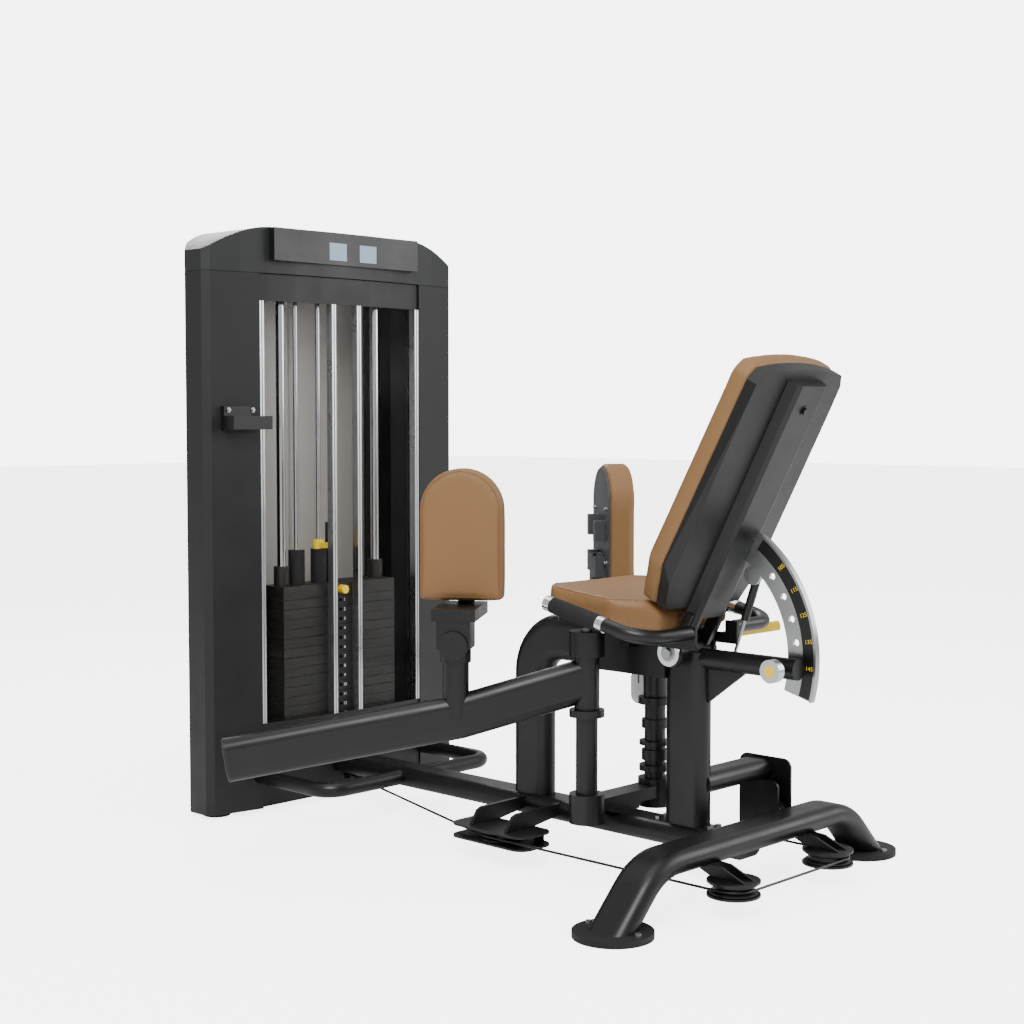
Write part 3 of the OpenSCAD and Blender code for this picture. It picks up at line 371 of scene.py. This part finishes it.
@dataclass
class Upholstery:
    """A foam cushion under coated fabric, swelled from its CAD solid.

    Args:
        node: The CAD cushion it stands for.
        body: The body it rides on.
        swell: Cloth pressure that fills the cover.
        voxel_mm: Remesh size.
        limit_mm: Furthest the cover may leave the CAD surface.
        fill: How tight the cushion is; not used.
    """

    node: str
    body: str
    swell: float = 4.0
    voxel_mm: float = 5.0
    limit_mm: float = 2.2
    fill: float = 0.75

    def build(self) -> bpy.types.Object:
        """Returns:
            The cushion object.
        """
        source = cad(self.node)
        data = source.data.copy()
        data.transform(source.matrix_world)
        piece = bpy.data.objects.new(f"{self.node}_cover", data)
        bpy.context.scene.collection.objects.link(piece)
        data.materials.clear()
        data.materials.append(FINISHES.get(TAN_VINYL))
        self._round(piece)
        self._inflate(piece)
        for polygon in piece.data.polygons:
            polygon.use_smooth = True
        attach(piece, self.body)
        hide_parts(self.node)
        return piece

    def _apply(self, piece: bpy.types.Object) -> None:
        """Bake the modifiers of a piece into its mesh."""
        graph = bpy.context.evaluated_depsgraph_get()
        mesh = bpy.data.meshes.new_from_object(piece.evaluated_get(graph))
        piece.modifiers.clear()
        piece.data = mesh

    def _round(self, piece: bpy.types.Object) -> None:
        """Round the CAD solid's edges as foam rounds under its cover."""
        shape = bmesh.new()
        shape.from_mesh(piece.data)
        bmesh.ops.remove_doubles(shape, verts=shape.verts, dist=1e-5)
        bmesh.ops.dissolve_limit(shape, angle_limit=math.radians(2), verts=shape.verts, edges=shape.edges)
        least = math.radians(40)
        sharp = [e for e in shape.edges if len(e.link_faces) == 2 and e.calc_face_angle(0.0) > least]
        bmesh.ops.bevel(shape, geom=sharp, offset=8 * MM, segments=4, profile=0.5, affect="EDGES",
                        material=-1, clamp_overlap=True)
        shape.to_mesh(piece.data)
        shape.free()
        remesh = piece.modifiers.new("remesh", "REMESH")
        remesh.mode = "VOXEL"
        remesh.voxel_size = self.voxel_mm * MM
        self._apply(piece)

    def _inflate(self, piece: bpy.types.Object) -> None:
        """Fill the cover with a short cloth run, keeping it close to the CAD surface."""
        before = [v.co.copy() for v in piece.data.vertices]
        cloth = piece.modifiers.new("cloth", "CLOTH")
        settings = cloth.settings
        settings.quality = 4
        settings.mass = 0.4
        settings.tension_stiffness = 40
        settings.compression_stiffness = 40
        settings.bending_stiffness = 8
        settings.use_pressure = True
        settings.uniform_pressure_force = self.swell
        settings.effector_weights.gravity = 0
        cloth.collision_settings.use_collision = False
        scene = bpy.context.scene
        for frame in range(1, CLOTH_FRAMES + 1):
            scene.frame_set(frame)
        self._apply(piece)
        scene.frame_set(1)
        limit = self.limit_mm * MM
        for vertex, start in zip(piece.data.vertices, before):
            move = vertex.co - start
            if move.length > limit:
                vertex.co = start + move * (limit / move.length)


@dataclass
class Bolt:
    """A low hex or button head with a washer.

    Args:
        place: Centre of its seat in the row frame.
        axis: Outward direction.
        across_mm: Size across the head.
        tall_mm: Height of the head.
        sides: Sides of the head; 32 for a button head.
    """

    place: Vector
    axis: Vector
    across_mm: float = 14.0
    tall_mm: float = 7.0
    sides: int = 6

    def add_to(self, mesh: bmesh.types.BMesh) -> None:
        """Add the bolt to a mesh.

        Args:
            mesh: The mesh that collects a group of bolts.
        """
        turn = self.axis.normalized().to_track_quat("Z", "Y").to_matrix().to_4x4()
        washer = Matrix.Translation(self.place) @ turn @ Matrix.Translation((0, 0, 0.75 * MM))
        bmesh.ops.create_cone(mesh, cap_ends=True, segments=32, radius1=self.across_mm * 0.75 * MM,
                              radius2=self.across_mm * 0.75 * MM, depth=1.5 * MM, matrix=washer)
        middle = (1.5 + self.tall_mm / 2) * MM
        head = Matrix.Translation(self.place) @ turn @ Matrix.Translation((0, 0, middle))
        made = bmesh.ops.create_cone(mesh, cap_ends=True, segments=self.sides,
                                     radius1=self.across_mm / 2 * MM, radius2=self.across_mm / 2 * MM,
                                     depth=self.tall_mm * MM, matrix=head)
        rim = {e for v in made["verts"] for e in v.link_edges}
        bmesh.ops.bevel(mesh, geom=list(rim), offset=0.7 * MM, segments=2, profile=0.5, affect="EDGES",
                        material=-1)


def bolt_group(name: str, bolts: Iterable[Bolt], finish: Finish, body: str) -> bpy.types.Object:
    """Make one object from several bolts.

    Args:
        name: Object name.
        bolts: The bolts.
        finish: Their finish.
        body: The body they ride on.

    Returns:
        The joined object.
    """
    mesh = bmesh.new()
    for bolt in bolts:
        bolt.add_to(mesh)
    return new_piece(name, mesh, finish, body)


def soften(node: str, width_mm: float, angle_deg: float = 30.0) -> None:
    """Break a CAD node's sharp edges so that they catch the light.

    Args:
        node: Node name.
        width_mm: Width of the broken edge.
        angle_deg: Least edge angle that is broken.
    """
    part = cad(node)
    for polygon in part.data.polygons:
        polygon.use_smooth = True
    edge = part.modifiers.new("edge", "BEVEL")
    edge.width = width_mm * MM
    edge.segments = 2
    edge.limit_method = "ANGLE"
    edge.angle_limit = math.radians(angle_deg)
    edge.harden_normals = True


@dataclass(frozen=True)
class Layout:
    """Sizes of the CAD frame that trim is placed by, in millimetres and degrees."""

    y_mid: float = 735.566
    pivot: tuple[float, float] = (128.0, 376.0)
    arm_open: float = 48.0
    post_reach: float = 310.0
    arm_reach: float = 843.0
    arm_end_z: float = 279.7
    arm_slope: float = -9.94
    pad_toe: float = 12.0
    pad_z: float = 643.0
    pad_w: float = 199.0
    pad_h: float = 314.0
    pad_face: float = -66.0
    hinge: tuple[float, float] = (176.0, 536.0)
    back_lean: float = 27.7
    cushion_low: float = 112.0
    back_l: float = 618.0
    back_w: float = 360.0
    back_face: float = 86.3
    seat_y0: float = 158.0
    seat_z0: float = 576.0
    seat_tilt: float = 5.0
    seat_l: float = 322.0
    seat_w: float = 400.0
    seat_top: float = 80.3
    sector_x: float = 36.0
    stack_front: float = 1420.0
    stack_z: float = 115.0
    plate_count: int = 17
    plate_pitch: float = 27.0
    oval_half: float = 24.0
    oval_radius: float = 27.0

    def pad(self, side: int) -> Matrix:
        """Local frame of a thigh pad: X outward from the post, Y forward, Z up.

        Args:
            side: -1 for the left pad, 1 for the right.

        Returns:
            The matrix from local millimetres to the row frame in metres.
        """
        mirror = Matrix.Diagonal((side, 1, 1, 1))
        local = (Matrix.Translation((self.pivot[0], self.pivot[1], 0))
                 @ Matrix.Rotation(math.radians(-self.arm_open), 4, "Z")
                 @ Matrix.Translation((0, self.post_reach, 0))
                 @ Matrix.Rotation(math.radians(self.pad_toe), 4, "Z"))
        return self.row() @ mirror @ local

    def arm_end(self, side: int) -> Matrix:
        """Frame at an arm's end: Y out along the tube, Z up across it."""
        mirror = Matrix.Diagonal((side, 1, 1, 1))
        local = (Matrix.Translation((self.pivot[0], self.pivot[1], 0))
                 @ Matrix.Rotation(math.radians(-self.arm_open), 4, "Z")
                 @ Matrix.Translation((0, self.arm_reach, self.arm_end_z))
                 @ Matrix.Rotation(math.radians(self.arm_slope), 4, "X"))
        return self.row() @ mirror @ local

    def back(self) -> Matrix:
        """Local frame of the back: Z up along the cushion, Y towards the user."""
        return (self.row() @ Matrix.Translation((0, self.hinge[0], self.hinge[1]))
                @ Matrix.Rotation(math.radians(self.back_lean), 4, "X"))

    def seat(self) -> Matrix:
        """Local frame of the seat board: Y forward along it, Z out of it."""
        return (self.row() @ Matrix.Translation((0, self.seat_y0, self.seat_z0))
                @ Matrix.Rotation(math.radians(self.seat_tilt), 4, "X"))

    def hinge_frame(self) -> Matrix:
        """Frame at the back hinge with Z up and Y forward."""
        return self.row() @ Matrix.Translation((0, self.hinge[0], self.hinge[1]))

    def row(self) -> Matrix:
        """From stations in millimetres to the row frame in metres."""
        return Matrix.Scale(MM, 4) @ Matrix.Translation((0, -self.y_mid, 0))


LAYOUT = Layout()


def spaced(points: list[Vector], step: float) -> list[Vector]:
    """Spread points evenly along a closed line.

    Args:
        points: Corners of the closed line.
        step: Distance between points.

    Returns:
        Points about one step apart.
    """
    result = []
    for a, b in zip(points, points[1:] + points[:1]):
        count = max(1, round((b - a).length / step))
        result += [a.lerp(b, i / count) for i in range(count)]
    return result


def tube_along(points: list[Vector], radius: float, sides: int = 8) -> bmesh.types.BMesh:
    """Sweep a round section along a closed line.

    Args:
        points: Points of the closed line in the row frame.
        radius: Section radius in metres.
        sides: Sides of the section.

    Returns:
        The swept mesh.
    """
    mesh = bmesh.new()
    rings = []
    count = len(points)
    for i, point in enumerate(points):
        along = (points[(i + 1) % count] - points[i - 1]).normalized()
        side = along.cross(Vector(SECTION_GUIDE)).normalized()
        up = along.cross(side)
        rings.append([mesh.verts.new(point + (side * math.cos(t) + up * math.sin(t)) * radius)
                      for t in (2 * math.pi * k / sides for k in range(sides))])
    for i in range(count):
        here, there = rings[i], rings[(i + 1) % count]
        for k in range(sides):
            mesh.faces.new((here[k], here[(k + 1) % sides], there[(k + 1) % sides], there[k]))
    return mesh


@dataclass
class Seam:
    """A sewn edge that lies on a cushion's cover.

    Args:
        name: Object name.
        body: The body it rides on.
        outline: Corners of the seam in the cushion's local frame, in millimetres.
        frame: The cushion's local frame.
        radius_mm: Radius of the sewn cord.
    """

    name: str
    body: str
    outline: list[Vector]
    frame: Matrix
    radius_mm: float = 1.3

    def build(self, cover: bpy.types.Object) -> bpy.types.Object:
        """Lay the seam on a cover.

        Args:
            cover: The cushion's object.

        Returns:
            The seam object.
        """
        line = []
        for point in spaced(self.outline, 8.0):
            found, place, normal, _ = cover.closest_point_on_mesh(self.frame @ point)
            line.append(place + normal * 0.2 * MM if found else self.frame @ point)
        smooth = [(line[i - 1] + line[i] * 2 + line[(i + 1) % len(line)]) / 4 for i in range(len(line))]
        piece = new_piece(self.name, tube_along(smooth, self.radius_mm * MM), TAN_PIPING, self.body)
        for polygon in piece.data.polygons:
            polygon.use_smooth = True
        return piece


def pad_outline(inset: float, depth: float) -> list[Vector]:
    """Outline of a thigh pad's face, set in from its edge.

    Args:
        inset: Distance in from the edge in millimetres.
        depth: Local X of the seam.

    Returns:
        Corners in the pad's local frame.
    """
    radius = LAYOUT.pad_w / 2
    top = LAYOUT.pad_z + LAYOUT.pad_h - radius
    arc = [Vector((depth, (radius - inset) * math.cos(t), top + (radius - inset) * math.sin(t)))
           for t in (math.pi * k / 24 for k in range(25))]
    low = LAYOUT.pad_z + inset
    return [Vector((depth, -radius + inset, low)), Vector((depth, radius - inset, low))] + arc


def back_outline(inset: float, depth: float) -> list[Vector]:
    """Outline of the back cushion's face, set in from its edge."""
    half = LAYOUT.back_w / 2 - inset
    low, high = LAYOUT.cushion_low + inset, LAYOUT.cushion_low + LAYOUT.back_l - inset
    flat = [(-half * 0.78, low), (half * 0.78, low), (half, low + 105), (half - 14, high - 40),
            (half - 36, high - 12), (0, high), (36 - half, high - 12), (14 - half, high - 40),
            (-half, low + 105)]
    return [Vector((x, depth, z)) for x, z in flat]


def seat_outline(inset: float, depth: float) -> list[Vector]:
    """Outline of the seat cushion's top, set in from its edge."""
    half, front = LAYOUT.seat_w / 2 - inset, LAYOUT.seat_l - inset
    flat = [(-half * 0.66, 30 + inset), (half * 0.66, 30 + inset), (half, 100), (half - 12, front - 40),
            (half - 50, front), (50 - half, front), (12 - half, front - 40), (-half, 100)]
    return [Vector((x, y, depth)) for x, y in flat]


@dataclass
class Lettering:
    """Small printed figures.

    Args:
        text: The figures.
        height_mm: Height of the figures.
        place: Matrix of their middle; they face its +Z.
        finish: Ink.
        body: The body they ride on.
    """

    text: str
    height_mm: float
    place: Matrix
    finish: Finish
    body: str

    def build(self) -> bpy.types.Object:
        """Make the figures as a thin mesh.

        Returns:
            The object.
        """
        curve = bpy.data.curves.new(f"mark_{self.text}", "FONT")
        curve.body = self.text
        curve.size = self.height_mm * 1.35 * MM
        curve.align_x = "CENTER"
        curve.align_y = "CENTER"
        curve.extrude = 0.1 * MM
        curve.resolution_u = 3
        holder = bpy.data.objects.new("holder", curve)
        bpy.context.scene.collection.objects.link(holder)
        graph = bpy.context.evaluated_depsgraph_get()
        data = bpy.data.meshes.new_from_object(holder.evaluated_get(graph))
        bpy.data.objects.remove(holder)
        data.transform(self.place)
        data.materials.clear()
        data.materials.append(FINISHES.get(self.finish))
        piece = bpy.data.objects.new(f"mark_{self.text}", data)
        bpy.context.scene.collection.objects.link(piece)
        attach(piece, self.body)
        return piece


@dataclass
class SectorScale:
    """The dark outer band of the recline sector with its yellow figures.

    Args:
        inner_mm: Inner radius of the band.
        outer_mm: Outer radius of the band.
        start_deg: Lower end above the line pointing back.
        end_deg: Upper end.
        figures: Figures from the top down.
        top_deg: Angle of the topmost figure.
        step_deg: Angle between figures.
        figure_mm: Radius that the figures sit on.
    """

    inner_mm: float = 297.0
    outer_mm: float = 332.0
    start_deg: float = -15.5
    end_deg: float = 55.0
    figures: tuple[str, ...] = ("105", "115", "125", "135", "145")
    top_deg: float = 41.0
    step_deg: float = 11.0
    figure_mm: float = 314.0

    def _point(self, radius: float, angle: float, x: float) -> Vector:
        """Point on the sector in the row frame."""
        t = math.radians(angle)
        return LAYOUT.hinge_frame() @ Vector((x, -radius * math.cos(t), radius * math.sin(t)))

    def build(self) -> None:
        """Build the band on both faces and its figures."""
        for face, x in (("near", LAYOUT.sector_x - 0.5), ("far", LAYOUT.sector_x + 8.5)):
            mesh = bmesh.new()
            steps = 48
            rows = []
            for i in range(steps + 1):
                angle = self.start_deg + (self.end_deg - self.start_deg) * i / steps
                rows.append([mesh.verts.new(self._point(r, angle, x + dx))
                             for r, dx in ((self.inner_mm, -0.4), (self.outer_mm, -0.4),
                                           (self.outer_mm, 0.4), (self.inner_mm, 0.4))])
            for a, b in zip(rows, rows[1:]):
                for k in range(4):
                    mesh.faces.new((a[k], a[(k + 1) % 4], b[(k + 1) % 4], b[k]))
            mesh.faces.new(rows[0])
            mesh.faces.new(rows[-1])
            new_piece(f"scale_band_{face}", mesh, SCALE_BAND, "back")
        for i, text in enumerate(self.figures):
            angle = self.top_deg - self.step_deg * i
            spot = self._point(self.figure_mm, angle, LAYOUT.sector_x - 1.0)
            turn = Matrix(((0, 0, -1), (-1, 0, 0), (0, 1, 0))).to_4x4()
            tilt = Matrix.Rotation(math.radians(angle), 4, "X").inverted()
            Lettering(text, 10.0, Matrix.Translation(spot) @ tilt @ turn, YELLOW_INK, "back").build()


def slab(name: str, low: Vector, high: Vector, finish: Finish, body: str,
         edge_mm: float = 1.0) -> bpy.types.Object:
    """Make a small box with broken edges.

    Args:
        name: Object name.
        low: Lowest corner in station millimetres.
        high: Highest corner in station millimetres.
        finish: Its finish.
        body: The body it rides on.
        edge_mm: Width of its broken edges.

    Returns:
        The object.
    """
    mesh = bmesh.new()
    size, middle = high - low, (high + low) / 2
    bmesh.ops.create_cube(mesh, size=1, matrix=Matrix.Translation(middle) @ Matrix.Diagonal((*size, 1)))
    bmesh.ops.bevel(mesh, geom=list(mesh.edges), offset=edge_mm, segments=2, profile=0.5, affect="EDGES",
                    material=-1)
    bmesh.ops.transform(mesh, matrix=LAYOUT.row(), verts=mesh.verts)
    return new_piece(name, mesh, finish, body)


@dataclass
class Trim:
    """Bolts, plugs, figures and tiles that finish the machine."""

    def build(self) -> None:
        """Add every trim piece."""
        self._stack_figures()
        self._header_tiles()
        self._bolts()
        self._knob_dot()
        self._plugs()
        SectorScale().build()

    def _stack_figures(self) -> None:
        """Print a figure on each weight plate."""
        turn = Matrix.Rotation(math.radians(90), 4, "X")
        for i in range(LAYOUT.plate_count):
            height = LAYOUT.stack_z + LAYOUT.plate_pitch * i + 13
            spot = LAYOUT.row() @ Vector((15.0, LAYOUT.stack_front - 0.1, height))
            figure = str(LAYOUT.plate_count - i)
            Lettering(figure, 9.0, Matrix.Translation(spot) @ turn, WHITE_INK, "base").build()

    def _header_tiles(self) -> None:
        """Fix two plain picture tiles to the header plate."""
        for x in (-70.0, 40.0):
            slab("picture_tile", Vector((x, 1375.2, 1512)), Vector((x + 62, 1376.4, 1560)), TILE, "base", 0.4)

    def _bolts(self) -> None:
        """Add the bolts that show."""
        row = LAYOUT.row()
        back = LAYOUT.back()
        rear = back.to_3x3() @ Vector((0, -1, 0))
        bolt_group("spine_bolts", [Bolt(back @ Vector((0, -22.0, 640.0)), rear, 16, 5, 32)],
                   POWDER_COAT, "back")
        hinge = LAYOUT.hinge_frame()
        bolt_group("hinge_bolts", [Bolt(hinge @ Vector((s * 73.0, 0, 0)), Vector((s, 0, 0)), 26, 9)
                                   for s in (-1, 1)], ZINC, "base")
        bolt_group("hook_bolts", [Bolt(row @ Vector((x, 1425 - 18, 1098)), Vector((0, -1, 0)), 9, 4, 32)
                                  for x in (-395.0, -315.0)], ZINC, "base")
        for side, body in ((-1, "left_pad"), (1, "right_pad")):
            pad = LAYOUT.pad(side)
            out = (pad.to_3x3() @ Vector((-1, 0, 0))).normalized()
            bolt_group(f"{body}_bolts", [Bolt(pad @ Vector((-133.0, y, z)), out, 10, 5, 32)
                                         for y in (-62.0, 62.0) for z in (700.0, 840.0)], ZINC, body)

    def _plugs(self) -> None:
        """Close each arm's end with a rounded plug."""
        for side, body in ((-1, "left_arm"), (1, "right_arm")):
            mesh = bmesh.new()
            frame = LAYOUT.arm_end(side)
            section = []
            for centre, start in ((LAYOUT.oval_half, 0.0), (-LAYOUT.oval_half, 180.0)):
                arc = (math.radians(start + 180 * k / 20) for k in range(21))
                section += [Vector((LAYOUT.oval_radius * math.cos(t), 0,
                                    centre + LAYOUT.oval_radius * math.sin(t))) for t in arc]
            rings = []
            for scale, y in ((1.03, -3.0), (1.03, 3.5), (0.97, 5.5), (0.90, 6.0)):
                rings.append([mesh.verts.new(frame @ Vector((p.x * scale, y, p.z * scale)))
                              for p in section])
            for a, b in zip(rings, rings[1:]):
                for k in range(len(a)):
                    mesh.faces.new((a[k], a[(k + 1) % len(a)], b[(k + 1) % len(b)], b[k]))
            mesh.faces.new(rings[0])
            mesh.faces.new(rings[-1])
            new_piece(f"{body}_plug", mesh, PLUG, body)

    def _knob_dot(self) -> None:
        """Set a yellow dot in the lock knob."""
        mesh = bmesh.new()
        spot = centre_of("lock_plunger")
        low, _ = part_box("lock_plunger")
        place = (Matrix.Translation((low[0] - 0.6 * MM, spot.y, spot.z))
                 @ Matrix.Rotation(math.radians(90), 4, "Y"))
        made = bmesh.ops.create_cone(mesh, cap_ends=True, segments=48, radius1=13 * MM, radius2=13 * MM,
                                     depth=2.4 * MM, matrix=place)
        rim = {e for v in made["verts"] for e in v.link_edges}
        bmesh.ops.bevel(mesh, geom=list(rim), offset=0.6 * MM, segments=2, profile=0.5, affect="EDGES",
                        material=-1)
        new_piece("knob_dot", mesh, YELLOW, "lock")


@dataclass
class Studio:
    """Floor, lights and camera.

    Args:
        azimuth_deg: Camera heading from +Y, clockwise from above.
        pitch_deg: Camera pitch below level.
        lens_mm: Focal length on a 36 mm sensor.
        position: Camera position in metres.
    """

    azimuth_deg: float = 46.15
    pitch_deg: float = 3.23
    lens_mm: float = 59.64
    position: tuple[float, float, float] = (-3.1239, -2.2563 - 0.735566, 1.0811)

    def build(self) -> None:
        """Place the stage, the lights, the world and the camera."""
        self._floor()
        self._world()
        self._light("key", (-2.6, -2.2, 3.6), 210, 2.2)
        self._light("fill", (3.2, -3.2, 2.4), 110, 2.6)
        self._light("rim", (1.6, 3.4, 3.2), 90, 1.8)
        self._light("top", (0.0, 0.2, 4.2), 60, 3.0)
        self._camera()

    def _floor(self) -> None:
        """Lay a wide pale floor."""
        mesh = bmesh.new()
        bmesh.ops.create_grid(mesh, x_segments=1, y_segments=1, size=FLOOR_HALF)
        data = bpy.data.meshes.new("floor")
        mesh.to_mesh(data)
        mesh.free()
        floor = bpy.data.objects.new("floor", data)
        floor.location.z = -0.0005
        bpy.context.scene.collection.objects.link(floor)
        data.materials.append(FINISHES.get(FLOOR))

    def _world(self) -> None:
        """Set an even pale surround."""
        world = bpy.data.worlds.new("studio")
        world.use_nodes = True
        tree = world.node_tree
        back = tree.nodes["Background"]
        back.inputs["Color"].default_value = (1.0, 1.0, 1.0, 1.0)
        seen = FinishLibrary.add(tree, "ShaderNodeLightPath")
        level = FinishLibrary.add(tree, "ShaderNodeMapRange", To_Min=0.7, To_Max=6.0)
        tree.links.new(seen.outputs["Is Camera Ray"], level.inputs["Value"])
        tree.links.new(level.outputs["Result"], back.inputs["Strength"])
        bpy.context.scene.world = world

    def _light(self, name: str, place: tuple[float, float, float], power: float, size: float) -> None:
        """Hang one soft square light aimed at the machine."""
        data = bpy.data.lights.new(name, "AREA")
        data.energy = power
        data.size = size
        light = bpy.data.objects.new(name, data)
        light.location = place
        aim = Vector((0, 0, AIM_HEIGHT)) - Vector(place)
        light.rotation_euler = aim.to_track_quat("-Z", "Y").to_euler()
        bpy.context.scene.collection.objects.link(light)

    def _camera(self) -> None:
        """Place the camera."""
        data = bpy.data.cameras.new("camera")
        data.lens = self.lens_mm
        data.sensor_width = 36
        data.clip_end = 60
        camera = bpy.data.objects.new("camera", data)
        camera.location = self.position
        camera.rotation_euler = (math.radians(90 - self.pitch_deg), 0, -math.radians(self.azimuth_deg))
        bpy.context.scene.collection.objects.link(camera)
        bpy.context.scene.camera = camera


@dataclass
class Machine:
    """The whole machine's look.

    Args:
        cushions: Its four cushions.
        edges_mm: Broken-edge width of each node that shows one.
    """

    cushions: list[Upholstery] = field(default_factory=lambda: [
        Upholstery("seat_cushion", "base"),
        Upholstery("back_cushion", "back"),
        Upholstery("left_pad", "left_pad"),
        Upholstery("right_pad", "right_pad"),
    ])
    edges_mm: dict[str, float] = field(default_factory=lambda: {
        "side_covers": 3.0, "name_plate": 2.0, "left_swivel": 2.5, "right_swivel": 2.5,
        "post_base": 2.0, "post_head": 2.0, "pivot_posts": 1.5, "left_arm": 2.0, "right_arm": 2.0,
        "back_frame": 3.0, "back_shell": 3.0, "side_outrigger": 1.5, "range_lever": 3.0,
        "lock_plunger": 2.5, "floor_discs": 2.5, "head_plate": 1.2, "selector_pin": 2.0,
        "left_pad_plate": 1.2, "right_pad_plate": 1.2, "bottle_hook": 1.0, "hinge_pin": 2.0,
    })

    def build(self) -> None:
        """Finish the CAD nodes and add upholstery and trim."""
        for name, part in FRAME["nodes"].items():
            part.data.materials.clear()
            part.data.materials.append(FINISHES.get(NODE_FINISH.get(name, POWDER_COAT)))
        for name, width in self.edges_mm.items():
            soften(name, width)
        covers = {cushion.node: cushion.build() for cushion in self.cushions}
        for side, node in ((-1, "left_pad"), (1, "right_pad")):
            frame = LAYOUT.pad(side)
            front = pad_outline(SEAM_INSET, LAYOUT.pad_face - 2)
            rear = pad_outline(SEAM_INSET, LAYOUT.pad_face - 60)
            Seam(f"{node}_seam", node, front, frame).build(covers[node])
            Seam(f"{node}_rear_seam", node, rear, frame).build(covers[node])
        back = back_outline(SEAM_INSET, LAYOUT.back_face - 2)
        Seam("back_seam", "back", back, LAYOUT.back()).build(covers["back_cushion"])
        seat = seat_outline(SEAM_INSET, LAYOUT.seat_top - 2)
        Seam("seat_seam", "base", seat, LAYOUT.seat()).build(covers["seat_cushion"])
        Trim().build()


def main() -> None:
    """Build the scene."""
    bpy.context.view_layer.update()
    Machine().build()
    Studio().build()


if __name__ == "__main__":
    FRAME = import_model()
    main()
